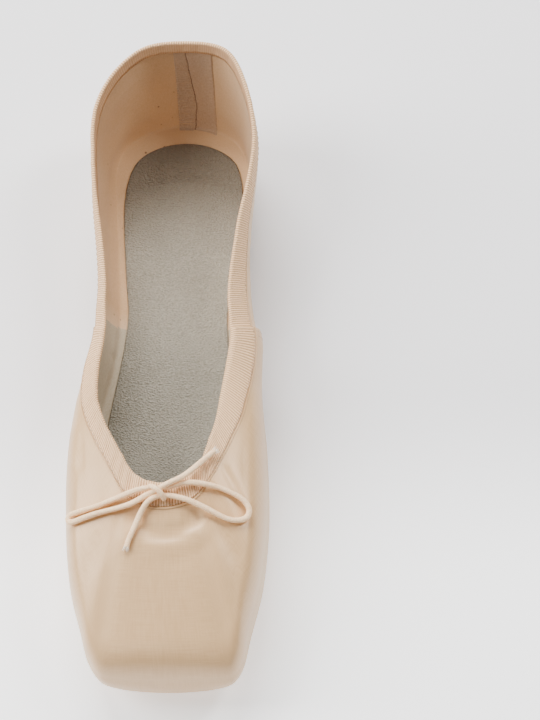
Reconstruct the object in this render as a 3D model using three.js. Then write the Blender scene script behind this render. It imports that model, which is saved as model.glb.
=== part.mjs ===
// A satin ballet shoe with a stiffened box, made straight so that it fits either foot.
// Millimetres. The toe points to -Y, the heel to +Y, +Z is up, and the sole stands on z = 0.
import * as THREE from "three";
import { mergeVertices } from "three/addons/utils/BufferGeometryUtils.js";

// Driving dimensions
const shoeLength = 240;
const boxWidth = 73;
const instepHeight = 47; // throat edge above the top of the sole leather
const heelHeight = 56.5; // collar above the sole leather at the back
const archRise = 4;
const toeSpring = 2.5;
const soleThickness = 2.2;
const lastingMargin = 4; // how far the sole leather covers the upper's turned-in edge
const quarterWall = 1.2; // satin and cotton lining
const boxWall = 2.8; // the same with the hardened layers of the box between them
const seamStep = 0.6; // the vamp laps over the quarters at the side seam
const pleatDepth = 0.9;
const insoleThickness = 4.4; // the sock on its board
const insoleEdge = 1; // upright part of its edge, below which it is bevelled
const insoleEase = 2; // from the wall to the edge of the insole
const soleBevel = 0.7;
const tapeThickness = 0.55;
const tapeWidth = 8; // outer leg of the binding
const tapeTurnIn = 3.6; // inner leg of the binding
const cordDiameter = 2.1;
const knotSize = [5.8, 5.2, 4];
const fitGap = 0.3;
const tapeGap = 0.38; // the tape lies over the facets of the wall

// The sole's flats and the stretch between them, as shares of the length from the toe
const ballFrontAlong = 0.19;
const ballBackAlong = 0.375;
const heelFrontAlong = 0.76;
// The stretch over which the height goes from the instep's to the heel's
const heightChange = { from: 0.5, to: 0.85 };

// Each row is a section: a line up the wall, from under the sole's edge to the collar.
// The rows go from the middle of the toe, round one side, to the middle of the heel.
// feather is the turned-in edge, corner and shoulder are rounded off, collar is the top edge.
// Their columns are along, out, up and round: along is a share of the length from the toe,
// out of half the box width, up and round of the height there. The collar's last column is
// the crown of the vamp or wall below it, as a share of the stretch up from the shoulder.
const sections = [
  { feather: [0.108, 0], corner: [0.001, 0, 0.03, 0.12],
    shoulder: [0.004, 0, 0.63, 0.27], collar: [0.268, 0, 1, 0.02] },
  { feather: [0.108, 0.16], corner: [0.001, 0.235, 0.05, 0.12],
    shoulder: [0.004, 0.245, 0.625, 0.27], collar: [0.27, 0.105, 1, 0.022] },
  { feather: [0.11, 0.31], corner: [0.002, 0.465, 0.1, 0.12],
    shoulder: [0.006, 0.48, 0.615, 0.26], collar: [0.2755, 0.205, 1, 0.03] },
  { feather: [0.119, 0.43], corner: [0.006, 0.635, 0.17, 0.12],
    shoulder: [0.011, 0.645, 0.6, 0.26], collar: [0.286, 0.29, 0.995, 0.04] },
  { feather: [0.135, 0.51], corner: [0.028, 0.735, 0.15, 0.15],
    shoulder: [0.034, 0.74, 0.645, 0.25], collar: [0.3, 0.355, 0.99, 0.044] },
  { feather: [0.167, 0.55], corner: [0.083, 0.815, 0.08, 0.17],
    shoulder: [0.086, 0.82, 0.72, 0.27], collar: [0.318, 0.41, 0.982, 0.04] },
  { feather: [0.208, 0.58], corner: [0.158, 0.92, 0.05, 0.19],
    shoulder: [0.158, 0.925, 0.8, 0.3], collar: [0.34, 0.465, 0.97, 0.036] },
  { feather: [0.267, 0.59], corner: [0.258, 0.97, 0.04, 0.2],
    shoulder: [0.25, 0.975, 0.84, 0.32], collar: [0.371, 0.54, 0.948, 0.032] },
  { feather: [0.358, 0.55], corner: [0.367, 0.95, 0.045, 0.2],
    shoulder: [0.358, 0.965, 0.83, 0.33], collar: [0.4125, 0.605, 0.918, 0.03] },
  { feather: [0.45, 0.45], corner: [0.458, 0.838, 0.05, 0.17],
    shoulder: [0.454, 0.925, 0.725, 0.32], collar: [0.471, 0.645, 0.86, 0.03] },
  { feather: [0.55, 0.327], corner: [0.57, 0.674, 0.05, 0.14],
    shoulder: [0.558, 0.864, 0.59, 0.3], collar: [0.5375, 0.65, 0.797, 0.03] },
  { feather: [0.625, 0.291], corner: [0.6375, 0.623, 0.045, 0.13],
    shoulder: [0.633, 0.823, 0.53, 0.3], collar: [0.6125, 0.649, 0.767, 0.03] },
  { feather: [0.708, 0.327], corner: [0.717, 0.659, 0.035, 0.12],
    shoulder: [0.717, 0.825, 0.53, 0.3], collar: [0.696, 0.72, 0.8, 0.03] },
  { feather: [0.783, 0.399], corner: [0.796, 0.7, 0.03, 0.11],
    shoulder: [0.796, 0.84, 0.52, 0.3], collar: [0.779, 0.81, 0.835, 0.025] },
  { feather: [0.85, 0.429], corner: [0.867, 0.71, 0.03, 0.11],
    shoulder: [0.871, 0.835, 0.515, 0.3], collar: [0.862, 0.83, 0.89, 0.02] },
  { feather: [0.896, 0.342], corner: [0.927, 0.598, 0.03, 0.11],
    shoulder: [0.938, 0.685, 0.52, 0.3], collar: [0.938, 0.685, 0.96, 0.02] },
  { feather: [0.919, 0.179], corner: [0.954, 0.317, 0.03, 0.11],
    shoulder: [0.982, 0.38, 0.54, 0.3], collar: [0.988, 0.43, 0.995, 0.02] },
  { feather: [0.925, 0], corner: [0.9625, 0, 0.03, 0.11],
    shoulder: [0.996, 0, 0.56, 0.3], collar: [1, 0, 1, 0.02] },
];
const ballSection = 7;
const seamSection = 10;
const heelSection = 13;
const lastSection = sections.length - 1;

// Lines up the wall in each stretch between two sections
const linesPerStretch = { toe: 4, waist: 2, heel: 3 };
const seamGap = 0.03; // share of a stretch that the step at the side seam takes

const wallBulge = 0.03; // how far the walls stand out between corner and shoulder, as a share of that
// A rounded corner takes at most this share of a line that meets there
const roundLimit = 0.46;
// The box's stiffening thins out over this much of its height below the tape, and between these sections
const boxFade = { height: 18, from: 9, to: 11 };

const clamp = THREE.MathUtils.clamp;
const lerp = THREE.MathUtils.lerp;

// Height of the sole's underside above the floor
function lift(along) {
  const arch = clamp((along - ballBackAlong) / (heelFrontAlong - ballBackAlong), 0, 1);
  const spring = Math.max(0, (ballFrontAlong - along) / ballFrontAlong);
  return archRise * Math.sin(Math.PI * arch) ** 2 + toeSpring * spring ** 2;
}

const alongOf = (y) => y / shoeLength + 0.5;
const featherHeight = (along) => lift(along) + soleThickness + fitGap;
const heightAt = (along) =>
  lerp(instepHeight, heelHeight, THREE.MathUtils.smoothstep(along, heightChange.from, heightChange.to));

function place([along, out, up = 0]) {
  const height = featherHeight(along) + up * heightAt(along);
  return new THREE.Vector3((out * boxWidth) / 2, (along - 0.5) * shoeLength, height);
}

const mirrored = (point) => new THREE.Vector3(-point.x, point.y, point.z);

// The closed curve round the shoe through one named point of every section
function lineRound(name) {
  const right = sections.map((section) => place(section[name]));
  const left = right.slice(1, lastSection).reverse().map(mirrored);
  const curve = new THREE.CatmullRomCurve3([...right, ...left], true);
  return (at) => curve.getPoint(at / (2 * lastSection));
}
const featherLine = lineRound("feather");
const cornerLine = lineRound("corner");
const shoulderLine = lineRound("shoulder");
const collarLine = lineRound("collar");

// The last column of a point at a place between two sections
function lastColumn(at, name) {
  const row = Math.min(Math.floor(at), lastSection - 1);
  return lerp(sections[row][name][3], sections[row + 1][name][3], at - row);
}

const toward = (from, to, distance) =>
  from.clone().addScaledVector(to.clone().sub(from).normalize(), distance);
const middle = (a, b) => a.clone().add(b).multiplyScalar(0.5);

// The path of the wall's outer face at a place between two sections, from feather to collar
function wallPath(at) {
  const feather = featherLine(at);
  const corner = cornerLine(at);
  const shoulder = shoulderLine(at);
  const collar = collarLine(at);
  const wall = corner.distanceTo(shoulder);
  const top = shoulder.distanceTo(collar);
  const height = heightAt(alongOf(corner.y));
  const cornerRound = lastColumn(at, "corner") * height;
  const shoulderRound = lastColumn(at, "shoulder") * height;
  const coveredBySole = lastingMargin + 3 * fitGap;
  const bare = corner.distanceTo(feather) - coveredBySole - fitGap;
  const underEnd = toward(corner, feather, Math.min(cornerRound, bare));
  const wallStart = toward(corner, shoulder, Math.min(cornerRound, wall * roundLimit));
  const wallEnd = toward(shoulder, corner, Math.min(shoulderRound, wall * roundLimit));
  const topStart = toward(shoulder, collar, Math.min(shoulderRound, top * roundLimit));
  const out = new THREE.Vector3(corner.x - feather.x, corner.y - feather.y, 0).normalize();
  const round = new THREE.Vector3(-out.y, out.x, 0);
  const crownWay = round.cross(collar.clone().sub(topStart)).normalize();
  const bulge = middle(wallStart, wallEnd).addScaledVector(out, wall * wallBulge);
  const crown = middle(topStart, collar).addScaledVector(crownWay, top * lastColumn(at, "collar"));
  return {
    margin: toward(feather, corner, coveredBySole),
    under: new THREE.LineCurve3(feather, underEnd),
    cornerBend: new THREE.QuadraticBezierCurve3(underEnd, corner, wallStart),
    side: new THREE.QuadraticBezierCurve3(wallStart, bulge, wallEnd),
    shoulderBend: new THREE.QuadraticBezierCurve3(wallEnd, shoulder, topStart),
    top: new THREE.QuadraticBezierCurve3(topStart, crown, collar),
  };
}

// The point of the wall's outer face that stands a height above the turned-in edge
function aboveFeather(at, height) {
  const path = wallPath(at);
  const lower = new THREE.CurvePath();
  lower.add(path.under);
  lower.add(path.cornerBend);
  lower.add(path.side);
  let [below, above] = [0, 1];
  for (let halving = 0; halving < 16; halving += 1) {
    const share = (below + above) / 2;
    const point = lower.getPoint(share);
    if (point.z - featherHeight(alongOf(point.y)) < height) below = share;
    else above = share;
  }
  return lower.getPoint(below);
}

// The points of the mesh up one line of the wall, and the share of a pleat that each carries
function wallPoints(at) {
  const path = wallPath(at);
  const fold = path.margin.clone().lerp(path.under.getPoint(1), 0.4);
  return [
    path.under.getPoint(0),
    path.margin,
    fold,
    ...[0, 0.35, 0.7].map((share) => path.cornerBend.getPoint(share)),
    ...[0, 0.5].map((share) => path.side.getPoint(share)),
    ...[0, 0.25, 0.5, 0.75].map((share) => path.shoulderBend.getPoint(share)),
    ...[0, 0.4, 0.8, 1].map((share) => path.top.getPoint(share)),
  ];
}
const pleatShares = [0, 0.05, 1, 1, 0.6, 0.15];
// The share of the lap over the quarters, which starts above the sole's edge
const lapShares = [0, 0, 0, 0.3, 0.7, 1];

// The point of the wall's outer face that lies a distance below the collar
function belowCollar(at, distance) {
  const path = wallPath(at);
  const upper = new THREE.CurvePath();
  upper.add(path.side);
  upper.add(path.shoulderBend);
  upper.add(path.top);
  return upper.getPointAt(1 - distance / upper.getLength());
}

// The places round the right side of the shoe that carry a line, from toe to heel
const places = [];
for (let section = 0; section < lastSection; section += 1) {
  const stretch = section < ballSection ? "toe" : section < heelSection ? "waist" : "heel";
  const count = linesPerStretch[stretch];
  for (let line = 0; line < count; line += 1) places.push(section + line / count);
  if (section === seamSection - 1) places.push(seamSection - seamGap);
}
places.push(lastSection);

// A grid of points round the whole shoe, as lines of points up the wall
function roundShoe(pointsAt) {
  const right = places.map(pointsAt);
  const left = right.slice(1, -1).reverse().map((line) => line.map(mirrored));
  return [...right, ...left];
}
const placesRound = [...places, ...places.slice(1, -1).reverse()];

// The outward direction at each point of such a grid
function normalsOf(grid) {
  return grid.map((line, i) =>
    line.map((point, j) => {
      const round = grid[(i + 1) % grid.length][j].clone().sub(grid.at(i - 1)[j]);
      const up = line[Math.min(j + 1, line.length - 1)].clone().sub(line[Math.max(j - 1, 0)]);
      return round.cross(up).normalize();
    }),
  );
}

// A grid moved along its outward directions by a distance that may change over it
function offset(grid, normals, distanceAt) {
  return grid.map((line, i) =>
    line.map((point, j) => point.clone().addScaledVector(normals[i][j], distanceAt(i, j))));
}

const lapAt = (i, j) => (placesRound[i] < seamSection ? seamStep * (lapShares[j] ?? 1) : 0);
const aboveLapShares = lapShares.length;

function solid(name, points, triangles, material) {
  const geometry = new THREE.BufferGeometry();
  geometry.setAttribute("position", new THREE.Float32BufferAttribute(points.flatMap((p) => p.toArray()), 3));
  geometry.setIndex(triangles);
  geometry.computeVertexNormals();
  const mesh = new THREE.Mesh(geometry, material);
  mesh.name = name;
  return mesh;
}

// A mesh of a geometry whose neighbouring faces share their points
function joined(name, geometry, material) {
  geometry.deleteAttribute("normal");
  geometry.deleteAttribute("uv");
  const shared = mergeVertices(geometry);
  shared.computeVertexNormals();
  const mesh = new THREE.Mesh(shared, material);
  mesh.name = name;
  return mesh;
}

// A closed band round the shoe: each line of the grid is one closed outline of its wall
function band(name, grid, material) {
  const points = grid.flat();
  const size = grid[0].length;
  const triangles = [];
  grid.forEach((line, i) => {
    const next = (i + 1) % grid.length;
    line.forEach((point, j) => {
      const above = (j + 1) % size;
      const [a, b, c, d] = [i * size + j, next * size + j, next * size + above, i * size + above];
      triangles.push(a, b, c, a, c, d);
    });
  });
  return solid(name, points, triangles, material);
}

// A sheet that bends along the shoe: its rims from the lowest up, each with its height along the shoe
function slab(name, rims, material) {
  const count = rims[0].outline.length;
  const half = count / 2;
  const points = rims.flatMap(({ outline, heightAt: at }) =>
    outline.map((p) => new THREE.Vector3(p.x, p.y, at(alongOf(p.y)))),
  );
  const topStart = points.length - count;
  const triangles = [];
  for (let i = 0; i < topStart; i += 1) {
    const next = i % count === count - 1 ? i + 1 - count : i + 1;
    triangles.push(i, next, count + next, i, count + next, count + i);
  }
  for (let i = 0; i < half; i += 1) {
    const [right, rightNext, leftNext, left] = [i, i + 1, (count - i - 1) % count, (count - i) % count];
    if (rightNext !== leftNext) {
      triangles.push(topStart + right, topStart + rightNext, topStart + leftNext, right, leftNext, rightNext);
    }
    if (right !== left) {
      triangles.push(topStart + right, topStart + leftNext, topStart + left, right, left, leftNext);
    }
  }
  return solid(name, points, triangles, material);
}

// How much of the box's stiffening the wall has at a place between two sections
const stiffAt = (at) => 1 - clamp((at - boxFade.from) / (boxFade.to - boxFade.from), 0, 1);

function makeUpper(material) {
  const smooth = roundShoe(wallPoints);
  const normals = normalsOf(smooth);
  const size = smooth[0].length;
  const pleatAt = (i, j) => {
    const at = placesRound[i];
    const phase = (Math.round(at * linesPerStretch.toe) % 2) * clamp(ballSection - at, 0, 1);
    return pleatDepth * phase * (pleatShares[j] ?? 0);
  };
  const wallAt = (i, j) => {
    const at = placesRound[i];
    const fromCollar = smooth[i][j].distanceTo(smooth[i][size - 1]);
    const upright = lapShares[j] ?? 1;
    const below = clamp((fromCollar - tapeWidth) / boxFade.height, 0, 1);
    return lerp(quarterWall, boxWall, stiffAt(at) * upright * below);
  };
  const outer = offset(smooth, normals, (i, j) => lapAt(i, j) + pleatAt(i, j));
  const inner = offset(smooth, normals, (i, j) => -wallAt(i, j));
  return band("upper", outer.map((line, i) => [...line, ...inner[i].toReversed()]), material);
}

function makeOutsole(material) {
  const rim = (inset) =>
    roundShoe((at) => [toward(featherLine(at), cornerLine(at), lastingMargin - inset)]).flat();
  return slab(
    "outsole",
    [
      { outline: rim(soleBevel), heightAt: lift },
      { outline: rim(0), heightAt: (along) => lift(along) + soleBevel },
      { outline: rim(0), heightAt: (along) => lift(along) + soleThickness },
    ],
    material,
  );
}

function makeInsole(material) {
  const feather = roundShoe((at) => [featherLine(at)]).flat();
  const edge = roundShoe((at) => {
    const wall = lerp(quarterWall, boxWall, stiffAt(at));
    const meets = aboveFeather(at, insoleThickness - insoleEdge + fitGap);
    return [toward(meets, featherLine(at), wall + insoleEase)];
  }).flat();
  const bottomAt = (along) => featherHeight(along) + quarterWall + 2 * fitGap;
  return slab(
    "insole",
    [
      { outline: feather, heightAt: bottomAt },
      { outline: edge, heightAt: (along) => bottomAt(along) + insoleThickness - insoleEdge },
      { outline: edge, heightAt: (along) => bottomAt(along) + insoleThickness },
    ],
    material,
  );
}

// The tape folds over the edge: its outline runs up the outer leg, over, down the inner leg and back
function makeBinding(material) {
  const depths = [tapeWidth, tapeWidth / 2, tapeTurnIn, 0];
  const grid = roundShoe((at) => depths.map((depth) => belowCollar(at, depth)));
  const normals = normalsOf(grid);
  const outlines = grid.map((line, i) => {
    const [low, half, turn, edge] = line;
    const [lowOut, halfOut, turnOut, edgeOut] = normals[i];
    const up = edge.clone().sub(turn).normalize();
    const lap = lapAt(i, aboveLapShares) + tapeGap;
    const inside = -(quarterWall + tapeGap);
    const at = (point, out, distance, rise = 0) =>
      point.clone().addScaledVector(out, distance).addScaledVector(up, rise);
    return [
      at(low, lowOut, lap + tapeThickness),
      at(half, halfOut, lap + tapeThickness),
      at(edge, edgeOut, lap + tapeThickness, tapeGap),
      at(edge, edgeOut, (lap + inside) / 2, tapeGap + 1.6 * tapeThickness),
      at(edge, edgeOut, inside - tapeThickness, tapeGap),
      at(turn, turnOut, inside - tapeThickness),
      at(turn, turnOut, inside),
      at(edge, edgeOut, inside, tapeGap),
      at(edge, edgeOut, lap, tapeGap),
      at(half, halfOut, lap),
      at(low, lowOut, lap),
    ];
  });
  return band("collar_binding", outlines, material);
}

// The bow of the drawstring, laid by hand: the middle of the cord at each point
const knotMiddle = [-2.6, -59.2, 53.2];
const bow = {
  bow_loop_left: [
    [-6.6, -58.4, 52.8],
    [-9, -58.7, 52.3],
    [-12.6, -59.7, 51.5],
    [-16.3, -60.8, 50],
    [-19.9, -61.8, 48.8],
    [-24.1, -63.1, 47.6],
    [-28.3, -64, 46.2],
    [-32.3, -64.8, 44.4],
    [-34.4, -66.1, 42.5],
    [-32.4, -67.4, 43.9],
    [-28.6, -66.8, 45.7],
    [-24.3, -65.8, 47.1],
    [-20.4, -65.1, 48.1],
    [-16.2, -64.4, 49.1],
    [-12, -63.3, 50.1],
    [-8.6, -62, 51.4],
    [-6.6, -60.9, 52],
  ],
  bow_loop_right: [
    [1.6, -57.8, 52.8],
    [6.2, -56.4, 52.8],
    [10.2, -55.9, 52.3],
    [14.6, -56.1, 51.2],
    [18.9, -56.6, 49.6],
    [23.3, -57.9, 48.2],
    [26.9, -59.5, 47.1],
    [29.2, -61.5, 46.1],
    [30.2, -64.1, 45.5],
    [29.2, -66.5, 45.5],
    [26.6, -67.8, 46.1],
    [23.1, -67.8, 47],
    [19.5, -66.6, 48.1],
    [15.6, -64.8, 49.2],
    [11.6, -63.1, 50.2],
    [7.6, -61.9, 51.4],
    [3.9, -61.1, 52],
    [1.3, -60.8, 52.2],
  ],
  bow_end_right: [
    [2, -57.3, 55.3],
    [4.6, -56, 55.3],
    [6.1, -55, 54.9],
    [7.6, -53.8, 54.3],
    [10.5, -50.8, 53.2],
    [13.5, -47.6, 52.4],
    [16.1, -45, 51.9],
    [17.6, -43.4, 51.4],
  ],
  bow_end_left: [
    [-5.4, -62.9, 51.7],
    [-6.6, -64.2, 51],
    [-8.2, -66.7, 49.7],
    [-9.8, -70.2, 48.7],
    [-11.3, -73.7, 47.9],
    [-12.4, -76.2, 47.2],
    [-13, -78.5, 46.7],
  ],
};
const cordSides = 8;
const cordStepLength = 3.4;

function makeCord(name, points, material) {
  const path = new THREE.CatmullRomCurve3(points.map((p) => new THREE.Vector3(...p)));
  const section = Array.from({ length: cordSides }, (_, side) => {
    const angle = (2 * Math.PI * side) / cordSides;
    return new THREE.Vector2(Math.cos(angle), Math.sin(angle)).multiplyScalar(cordDiameter / 2);
  });
  const steps = Math.ceil(path.getLength() / cordStepLength);
  const shape = new THREE.Shape(section);
  const tube = new THREE.ExtrudeGeometry(shape, { steps, extrudePath: path, bevelEnabled: false });
  return joined(name, tube, material);
}

function makeKnot(material) {
  const knot = new THREE.SphereGeometry(0.5, 12, 8);
  knot.scale(...knotSize);
  knot.translate(...knotMiddle);
  return joined("bow_knot", knot, material);
}

const satin = new THREE.MeshStandardMaterial({ name: "satin", color: 0xe3c7aa, roughness: 0.4 });
const leather = new THREE.MeshStandardMaterial({ name: "sole_leather", color: 0xc9a57c, roughness: 0.7 });
const sock = new THREE.MeshStandardMaterial({ name: "insole_sock", color: 0x99958a, roughness: 0.95 });
const tape = new THREE.MeshStandardMaterial({ name: "binding_tape", color: 0xf0d0b4, roughness: 0.8 });
const cotton = new THREE.MeshStandardMaterial({ name: "cord_cotton", color: 0xf2dcc4, roughness: 0.85 });

const shoe = new THREE.Group();
shoe.add(makeUpper(satin), makeOutsole(leather), makeInsole(sock), makeBinding(tape), makeKnot(cotton));
for (const [name, points] of Object.entries(bow)) shoe.add(makeCord(name, points, cotton));

export default shoe;
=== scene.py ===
import math

import bpy
import numpy as np
from mathutils import Matrix, Vector


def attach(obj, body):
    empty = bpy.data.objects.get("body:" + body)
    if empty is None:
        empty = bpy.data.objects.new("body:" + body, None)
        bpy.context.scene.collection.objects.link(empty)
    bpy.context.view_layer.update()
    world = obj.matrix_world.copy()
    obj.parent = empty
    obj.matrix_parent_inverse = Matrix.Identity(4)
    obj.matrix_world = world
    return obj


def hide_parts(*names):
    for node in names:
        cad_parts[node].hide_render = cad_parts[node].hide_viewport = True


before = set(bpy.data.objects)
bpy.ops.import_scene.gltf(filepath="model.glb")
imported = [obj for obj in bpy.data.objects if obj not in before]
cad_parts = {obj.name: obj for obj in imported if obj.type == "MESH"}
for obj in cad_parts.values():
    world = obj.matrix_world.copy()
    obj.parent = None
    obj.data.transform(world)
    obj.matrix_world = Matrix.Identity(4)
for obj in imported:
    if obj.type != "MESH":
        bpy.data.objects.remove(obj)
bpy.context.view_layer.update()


# The camera
# It stands over the toe end, a little to one side, and looks down at the shoe, which lies
# left of the picture's middle. A long lens keeps the heel and the toe nearly the same width.
CAMERA_PLACE = (0.0837, -0.5059, 1.1099)
CAMERA_AIM = (0.0357, 0.005, 0.025)
CAMERA_ROLL = math.radians(-4.885)
PICTURE_HEIGHT_ANGLE = math.radians(12.681)
SENSOR_HEIGHT_MM = 24

bpy.ops.object.camera_add(location=CAMERA_PLACE)
camera = bpy.context.object
camera.name = "camera"
view_way = Vector(CAMERA_AIM) - Vector(CAMERA_PLACE)
camera.rotation_euler = view_way.to_track_quat("-Z", "Y").to_euler()
camera.rotation_euler.rotate_axis("Z", CAMERA_ROLL)
camera.data.sensor_fit = "VERTICAL"
camera.data.sensor_height = SENSOR_HEIGHT_MM
camera.data.lens = SENSOR_HEIGHT_MM / 2 / math.tan(PICTURE_HEIGHT_ANGLE / 2)
camera.data.clip_start = 0.05
bpy.context.scene.camera = camera


# The bow of the drawstring
# A thin, soft, round cotton cord runs inside the binding and comes out at the throat. Each of its
# two ends makes one loop and one tail, tied over each other in a knot. The tails are cut and fray.
CORD_DIAMETER = 0.0021
CORD_STEP = 0.0006
ROUTE_PARTS = 24
CORD_SIDES = 20
CORD_GROOVE = 0.16
PLY_FULLNESS = 0.6
CORD_TWIST_LENGTH = 0.05
FRAY_LENGTH = 0.0022
FRAY_HIDDEN = 0.0006
FRAY_SPREAD = 0.4
FRAY_FANS = 0.0005
FRAY_UNEVEN = 0.25
YARNS = 22
YARN_RADIUS = 0.00022
GOLDEN_TURN = math.radians(137.5)
CORD_EXIT = (-2.6, -58.2, 51)
CORD_COLOUR = (0.9, 0.53, 0.27, 1)
CORD_FUZZ_COLOUR = (1, 0.78, 0.5, 1)
LEFT_CORD_ROUTE = [
    CORD_EXIT, (-4.2, -58.2, 52.5), (-6.6, -58.4, 52.8), (-9, -58.7, 52.3), (-12.6, -59.7, 51.5),
    (-16.3, -60.8, 50), (-19.9, -61.8, 48.8), (-24.1, -63.1, 47.6), (-28.3, -64, 46.2),
    (-32.4, -64.6, 44.3), (-33.9, -65, 43.3), (-34.7, -66.1, 42.7), (-34, -67.3, 43.1),
    (-32.4, -67.6, 43.9), (-28.6, -66.8, 45.7), (-24.3, -65.8, 47.1), (-20.4, -65.1, 48.1),
    (-16.2, -64.4, 49.1), (-12, -63.3, 50.1), (-8.6, -62, 51.4), (-6.6, -60.9, 52),
    (-4.2, -60, 52.6), (-1.4, -58.9, 54.2), (2, -57.3, 55.3), (4.6, -56, 55.3), (6.1, -55, 54.9),
    (7.6, -53.8, 54.3), (10.5, -50.8, 53.2), (13.5, -47.6, 52.4), (16.1, -45, 51.9),
    (17.6, -43.4, 51.4),
]
RIGHT_CORD_ROUTE = [
    CORD_EXIT, (-0.8, -57.8, 52.4), (1.6, -57.8, 52.8), (6.2, -56.4, 52.8), (10.2, -55.9, 52.3),
    (14.6, -56.1, 51.2), (18.9, -56.6, 49.6), (23.3, -57.9, 48.2), (26.9, -59.5, 47.1),
    (29.2, -61.5, 46.1), (30.2, -64.1, 45.5), (29.2, -66.5, 45.5), (26.6, -67.8, 46.1),
    (23.1, -67.8, 47), (19.5, -66.6, 48.1), (15.6, -64.8, 49.2), (11.6, -63.1, 50.2),
    (7.6, -61.9, 51.4), (3.9, -61.1, 52), (1.3, -60.8, 52.2), (-1.4, -61, 52.3),
    (-3.8, -61.8, 52.1), (-5.4, -62.9, 51.7), (-6.6, -64.2, 51), (-8.2, -66.7, 49.7),
    (-9.8, -70.2, 48.7), (-11.3, -73.7, 47.9), (-12.4, -76.2, 47.2), (-13, -78.5, 46.7),
]
KNOT_WRAP_ROUTE = [
    (-5, -57.6, 51.4), (-4.8, -57.8, 53), (-3.8, -58.5, 54.5), (-2.4, -59.5, 55.2),
    (-0.9, -60.8, 54.3), (-0.1, -61.6, 52.8), (0.1, -61.8, 51.4),
]


def select(*pieces):
    """Selects these pieces and nothing else, and makes the first one active."""
    bpy.ops.object.select_all(action="DESELECT")
    for piece in pieces:
        piece.select_set(True)
    if pieces:
        bpy.context.view_layer.objects.active = pieces[0]


def run_along(points):
    """How far along a path, or along each of many paths, its points lie."""
    steps = np.linalg.norm(np.diff(points, axis=-2), axis=-1)
    return np.concatenate([0 * steps[..., :1], np.cumsum(steps, axis=-1)], axis=-1)


def path_at(at, run, points):
    """The places on a path at given lengths along it."""
    return np.stack([np.interp(at, run, points[:, axis]) for axis in range(3)], axis=-1)


def smooth_route(route, step):
    """Even points along a smooth curve through a route given in millimetres."""
    points = [Vector(p) / 1000 for p in route]
    points = [2 * points[0] - points[1], *points, 2 * points[-1] - points[-2]]
    dense = []
    for before, start, end, after in zip(points, points[1:], points[2:], points[3:]):
        for part in np.linspace(0, 1, ROUTE_PARTS, endpoint=False):
            pull = (end - before) / 2 * part * (1 - part) ** 2 - (after - start) / 2 * part**2 * (1 - part)
            blend = part * part * (3 - 2 * part)
            dense.append(start.lerp(end, blend) + pull)
    dense.append(points[-2])
    dense = np.array(dense)
    run = run_along(dense)
    even = np.linspace(0, run[-1], round(run[-1] / step) + 1)
    return path_at(even, run, dense), run[-1]


def new_material(name):
    """A new material, with its node tree and its Principled shader."""
    material = bpy.data.materials.new(name)
    material.use_nodes = True
    tree = material.node_tree
    return material, tree, tree.nodes["Principled BSDF"]


def add_node(tree, kind, settings=None, **inputs):
    """Adds a node: settings are its properties, inputs its sockets' values or what feeds them."""
    node = tree.nodes.new(kind)
    for key, value in (settings or {}).items():
        setattr(node, key, value)
    for key, value in inputs.items():
        socket = node.inputs[int(key[1:]) if key[1:].isdigit() else key]
        if isinstance(value, bpy.types.NodeSocket):
            tree.links.new(value, socket)
        else:
            socket.default_value = value
    return node


def mixed_colour(tree, share, first, second):
    """A mix of two colours."""
    return add_node(tree, "ShaderNodeMix", {"data_type": "RGBA"}, i0=share, i6=first, i7=second).outputs[2]


def calculated(tree, operation, *values, clamp=False):
    settings = {"operation": operation, "use_clamp": clamp}
    inputs = {f"i{index}": value for index, value in enumerate(values)}
    return add_node(tree, "ShaderNodeMath", settings, **inputs).outputs[0]


def share_between(tree, value, low, high, top=1, interpolation="LINEAR"):
    """How far a value has come from one limit to the other, as a share of the top."""
    settings = {"interpolation_type": interpolation}
    node = add_node(tree, "ShaderNodeMapRange", settings, Value=value, i1=low, i2=high, i4=top)
    return node.outputs["Result"]


def noise(tree, vector, scale, detail):
    return add_node(tree, "ShaderNodeTexNoise", Vector=vector, Scale=scale, Detail=detail).outputs["Fac"]


def place_on_object(tree):
    return add_node(tree, "ShaderNodeTexCoord").outputs["Object"]


def along_y(tree, vector):
    return add_node(tree, "ShaderNodeSeparateXYZ", Vector=vector).outputs["Y"]


def dressed(tree, shader, colour, height, bump_height, roughness, strength=1.0):
    """Gives a shader its colour, its roughness and its small heights as bump."""
    bump = add_node(tree, "ShaderNodeBump", Height=height, Distance=bump_height, Strength=strength)
    tree.links.new(colour, shader.inputs["Base Color"])
    tree.links.new(bump.outputs["Normal"], shader.inputs["Normal"])
    shader.inputs["Roughness"].default_value = roughness


def ribbon(name, grid, uv):
    """A grid primitive laid over a grid of points, with their places on the flat cloth as its UVs."""
    lines, rows = grid.shape[:2]
    bpy.ops.mesh.primitive_grid_add(x_subdivisions=lines - 1, y_subdivisions=rows - 1, size=1, calc_uvs=True)
    piece = bpy.context.object
    piece.name = name
    mesh = piece.data
    mesh.vertices.foreach_set("co", grid.transpose(1, 0, 2).ravel())
    corner_vertices = np.empty(len(mesh.loops), dtype=np.int64)
    mesh.loops.foreach_get("vertex_index", corner_vertices)
    flat = uv.transpose(1, 0, 2).reshape(-1, 2)
    mesh.uv_layers.active.data.foreach_set("uv", flat[corner_vertices].ravel())
    mesh.update()
    return piece


MEETING_WITHIN = 1e-7


def sewn(piece):
    """Joins the meeting ends of a ribbon and turns its faces outwards."""
    select(piece)
    bpy.ops.object.mode_set(mode="EDIT")
    bpy.ops.mesh.select_all(action="SELECT")
    bpy.ops.mesh.remove_doubles(threshold=MEETING_WITHIN)
    bpy.ops.mesh.normals_make_consistent(inside=False)
    bpy.ops.object.mode_set(mode="OBJECT")
    bpy.ops.object.shade_smooth()
    select()


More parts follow.
